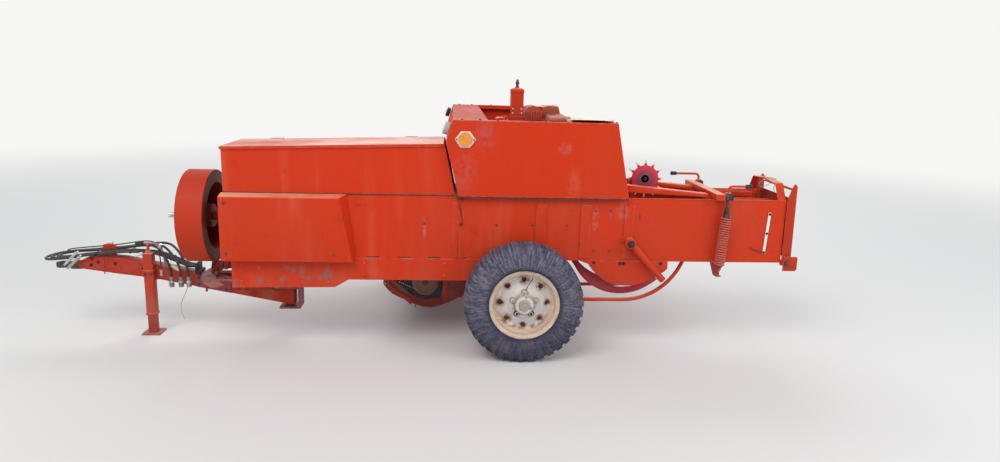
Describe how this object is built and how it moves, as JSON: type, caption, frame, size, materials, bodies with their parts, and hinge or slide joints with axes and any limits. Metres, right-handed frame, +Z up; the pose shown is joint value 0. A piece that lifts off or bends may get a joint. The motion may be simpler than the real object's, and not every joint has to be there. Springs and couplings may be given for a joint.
{
  "type": "small square baler",
  "caption": "Towed small square baler with side pickup, feeder hood, bale chamber, needle yoke, flywheel, swinging drawbar and jack.",
  "frame": {"origin": "centre of the bounding box on the ground, without the hoses", "axes": "+X rearward along the bale chamber, +Y to the machine's right, +Z up"},
  "size_m": [4.983, 2.37, 1.736],
  "materials": {
    "paint_red": "faded orange-red paint, satin",
    "lid_red": "sun-bleached orange-red paint",
    "inner_red": "dark red paint",
    "primer_pink": "worn paint over primer",
    "rim_white": "chalky white paint with rust",
    "cream": "cream paint",
    "tyre_black": "dusty rubber",
    "hose_black": "black rubber",
    "worn_steel": "worn bright steel",
    "dark_steel": "dark greasy steel",
    "cast": "painted cast iron",
    "lamp_white": "white plastic",
    "amber": "amber reflector"
  },
  "bodies": {
    "chassis": {"main_frame": "paint_red", "axle": "paint_red", "left_wall": "paint_red", "right_wall": "paint_red", "chamber_floor": "inner_red", "chamber_roof": "paint_red", "tension_rails": "paint_red", "tension_beam": "paint_red", "tension_springs": "paint_red", "tension_cranks": "paint_red", "twine_box": "paint_red", "drive_shield": "paint_red", "gearbox": "cast", "feeder_table": "paint_red", "hood_left": "paint_red", "hood_shell": "paint_red", "hood_cover": "cream", "feeder_arm": "paint_red", "knotters": "dark_steel", "needle_guard": "paint_red", "segment_plates": "paint_red", "lamps": "lamp_white", "reflector_lens": "amber", "wall_fittings": "worn_steel", "star_arm": "paint_red", "tongue_hanger": "paint_red"},
    "left_wheel": {"left_tyre": "tyre_black", "left_rim": "rim_white"},
    "right_wheel": {"right_tyre": "tyre_black", "right_rim": "rim_white"},
    "flywheel": {"flywheel": "cast", "pto_stub": "worn_steel"},
    "twine_lid": {"twine_lid": "lid_red"},
    "plunger": {"plunger": "inner_red"},
    "star_wheel": {"star_wheel": "inner_red"},
    "needle_yoke": {"yoke": "paint_red", "needles": "inner_red"},
    "pickup": {"pickup_frame": "paint_red", "pickup_bands": "worn_steel"},
    "pickup_reel": {"pickup_reel": "dark_steel"},
    "bale_chute": {"bale_chute": "paint_red"},
    "drawbar": {"drawbar": "paint_red", "hitch_eye": "dark_steel", "jack_tube": "paint_red", "hose_bracket": "dark_steel", "hose_a": "hose_black", "hose_b": "hose_black", "hose_c": "hose_black", "cable": "hose_black", "couplers": "worn_steel"},
    "jack_leg": {"jack_leg": "dark_steel"}
  },
  "joints": [
    {"name": "left_wheel_spin", "type": "hinge", "parent": "chassis", "child": "left_wheel", "pos_m": [0.6355, -1.075, 0.375], "axis": [0, 1, 0], "continuous": true},
    {"name": "right_wheel_spin", "type": "hinge", "parent": "chassis", "child": "right_wheel", "pos_m": [0.6355, 1.045, 0.375], "axis": [0, 1, 0], "continuous": true},
    {"name": "flywheel_spin", "type": "hinge", "parent": "chassis", "child": "flywheel", "pos_m": [-1.4375, -0.664, 0.818], "axis": [1, 0, 0], "continuous": true},
    {"name": "star_wheel_spin", "type": "hinge", "parent": "chassis", "child": "star_wheel", "pos_m": [1.4595, -0.7, 1.115], "axis": [0, 1, 0], "continuous": true},
    {"name": "pickup_reel_spin", "type": "hinge", "parent": "pickup", "child": "pickup_reel", "pos_m": [-0.0045, 0.085, 0.292], "axis": [0, 1, 0], "continuous": true},
    {"name": "drawbar_swing", "type": "hinge", "parent": "chassis", "child": "drawbar", "pos_m": [-0.9245, -0.555, 0.243], "axis": [0, 0, 1], "range_deg": [0, 28]},
    {"name": "jack_slide", "type": "slide", "parent": "drawbar", "child": "jack_leg", "axis": [0, 0, 1], "range_m": [0, 0.12]},
    {"name": "twine_lid_hinge", "type": "hinge", "parent": "chassis", "child": "twine_lid", "pos_m": [-1.2345, -0.403, 1.2933], "axis": [-0.9995, 0, -0.0323], "range_deg": [0, 100]},
    {"name": "plunger_slide", "type": "slide", "parent": "chassis", "child": "plunger", "axis": [1, 0, 0], "range_m": [0, 0.72]},
    {"name": "needle_lift", "type": "hinge", "parent": "chassis", "child": "needle_yoke", "pos_m": [1.3235, -0.664, 0.733], "axis": [0, 1, 0], "range_deg": [0, 93]},
    {"name": "pickup_lift", "type": "hinge", "parent": "chassis", "child": "pickup", "pos_m": [0.2905, 0.085, 0.53], "axis": [0, 1, 0], "range_deg": [-6, 6]},
    {"name": "chute_fold", "type": "hinge", "parent": "chassis", "child": "bale_chute", "pos_m": [2.3815, -0.664, 0.605], "axis": [0, 1, 0], "range_deg": [0, 95]}
  ]
}
